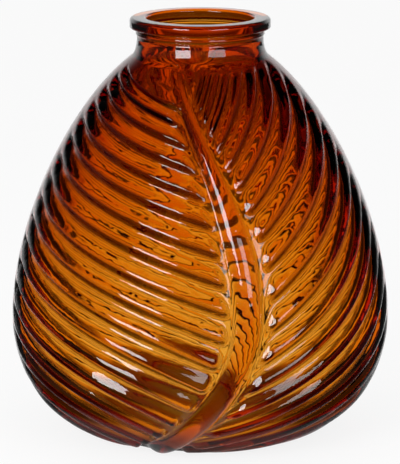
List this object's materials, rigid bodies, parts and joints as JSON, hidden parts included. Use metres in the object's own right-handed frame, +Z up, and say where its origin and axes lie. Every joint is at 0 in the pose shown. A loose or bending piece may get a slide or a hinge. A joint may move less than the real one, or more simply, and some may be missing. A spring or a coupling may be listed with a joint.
{
  "type": "glass vase",
  "caption": "Pear-shaped vase of moulded amber glass, with a ribbed leaf in relief on the front and the back, a short neck with a bead ring, and a flanged lip.",
  "frame": {"origin": "centre of the foot ring, on the surface that the vase stands on", "axes": "+Z up along the axis of the neck; -Y towards the front leaf; +X to the right as seen from the front"},
  "size_m": [0.2306, 0.2302, 0.255],
  "materials": {
    "amber_glass": "clear, fire-polished, deeper colour where the glass is thicker"
  },
  "bodies": {
    "root": {"glass_vase": "amber_glass"}
  },
  "joints": []
}
